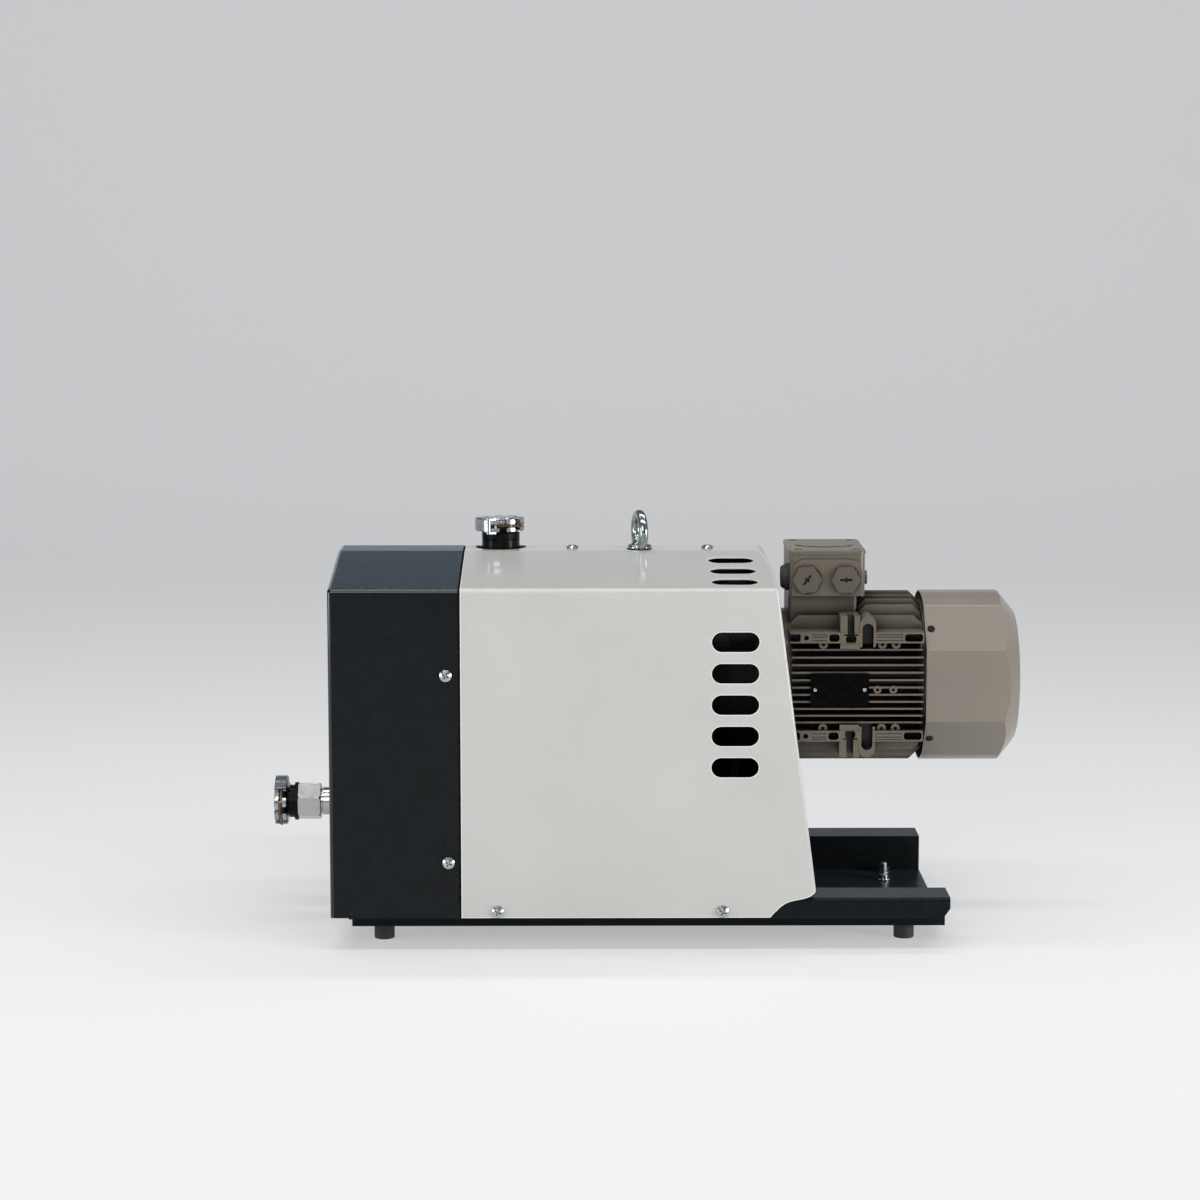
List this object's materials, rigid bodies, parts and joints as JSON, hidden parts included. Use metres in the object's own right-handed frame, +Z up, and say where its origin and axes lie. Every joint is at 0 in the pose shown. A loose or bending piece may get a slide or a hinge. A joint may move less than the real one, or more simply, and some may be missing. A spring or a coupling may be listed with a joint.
{
  "type": "claw vacuum pump",
  "caption": "Claw vacuum pump in a dark and light sheet-metal casing on a base tray, with a flanged motor, a lifting eye and clamped, blanked-off inlet and exhaust ports.",
  "frame": {"origin": "middle of the bottom of the whole machine, on the plane that its feet stand on", "axes": "+X from the exhaust end to the fan cowl, -Y towards the front that the picture shows, +Z up"},
  "size_m": [0.7792, 0.3584, 0.4302],
  "materials": {
    "dark_powder": "fine textured anthracite powder coat",
    "light_powder": "fine textured light grey powder coat",
    "motor_paint": "satin taupe enamel",
    "cast_metal": "bare casting",
    "shaft_steel": "ground steel",
    "aluminium": "cast aluminium",
    "zinc": "bright zinc plate",
    "bright_clamp": "polished stainless steel",
    "bronze_wire": "drawn bronze wire",
    "satin_nickel": "satin nickel",
    "port_black": "black paint",
    "silencer_steel": "heat-proof paint",
    "black_rubber": "moulded black rubber",
    "red_elastomer": "elastomer",
    "motor_plastic": "moulded plastic",
    "black_plastic": "black plastic"
  },
  "bodies": {
    "machine": {"base_tray": "dark_powder", "rubber_feet": "black_rubber", "foot_nuts": "zinc", "earth_stud": "zinc", "acoustic_hood": "dark_powder", "main_cover": "light_powder", "hood_screws": "zinc", "cover_screws": "zinc", "lifting_eye": "zinc", "claw_cylinder": "cast_metal", "outer_side_plate": "cast_metal", "inner_side_plate": "cast_metal", "gear_case": "cast_metal", "oil_plugs": "zinc", "pump_bearing_rings": "shaft_steel", "shaft_seals": "black_rubber", "bell_housing": "cast_metal", "support_brackets": "cast_metal", "motor_front_shield": "motor_paint", "motor_rear_shield": "motor_paint", "motor_bearing_rings": "shaft_steel", "motor_frame": "motor_paint", "stator_core": "shaft_steel", "fan_cowl": "motor_paint", "cowl_screws": "zinc", "terminal_box": "motor_paint", "terminal_lid": "motor_paint", "lid_screws": "zinc", "cable_plugs": "motor_plastic", "side_gland": "black_plastic", "rating_plate": "black_plastic", "plate_rivets": "zinc", "inlet_port": "port_black", "inlet_grommet": "black_rubber", "exhaust_nipple": "satin_nickel", "exhaust_hex": "satin_nickel", "exhaust_flange": "port_black", "exhaust_elbow": "silencer_steel", "exhaust_silencer": "silencer_steel", "centring_rings": "aluminium", "blank_flanges": "bright_clamp", "clamp_links": "bright_clamp", "clamp_wires": "bronze_wire"},
    "drive_line": {"drive_shaft": "shaft_steel", "upper_claw": "shaft_steel", "drive_gear": "shaft_steel", "coupling_hubs": "aluminium", "coupling_spider": "red_elastomer", "cooling_fan": "aluminium", "motor_rotor": "shaft_steel", "motor_fan": "motor_plastic"},
    "idler_line": {"idler_shaft": "shaft_steel", "lower_claw": "shaft_steel", "idler_gear": "shaft_steel"},
    "inlet_lever": {"inlet_clamp_lever": "bright_clamp"},
    "exhaust_lever": {"exhaust_clamp_lever": "bright_clamp"}
  },
  "joints": [
    {"name": "drive_spin", "type": "hinge", "parent": "machine", "child": "drive_line", "pos_m": [-0.15, 0, 0.255], "axis": [1, 0, 0], "continuous": true},
    {"name": "idler_spin", "type": "hinge", "parent": "machine", "child": "idler_line", "pos_m": [-0.15, 0, 0.171], "axis": [1, 0, 0], "continuous": true},
    {"name": "inlet_lever_swing", "type": "hinge", "parent": "machine", "child": "inlet_lever", "pos_m": [-0.16219, -0.01299, 0.413], "axis": [0, 0, 1], "range_deg": [0, 110]},
    {"name": "exhaust_lever_swing", "type": "hinge", "parent": "machine", "child": "exhaust_lever", "pos_m": [-0.3817, 0.02499, 0.13239], "axis": [-1, 0, 0], "range_deg": [0, 110]}
  ],
  "couplings": [
    {"joint": "idler_spin", "follows": "drive_spin", "ratio": -1}
  ]
}
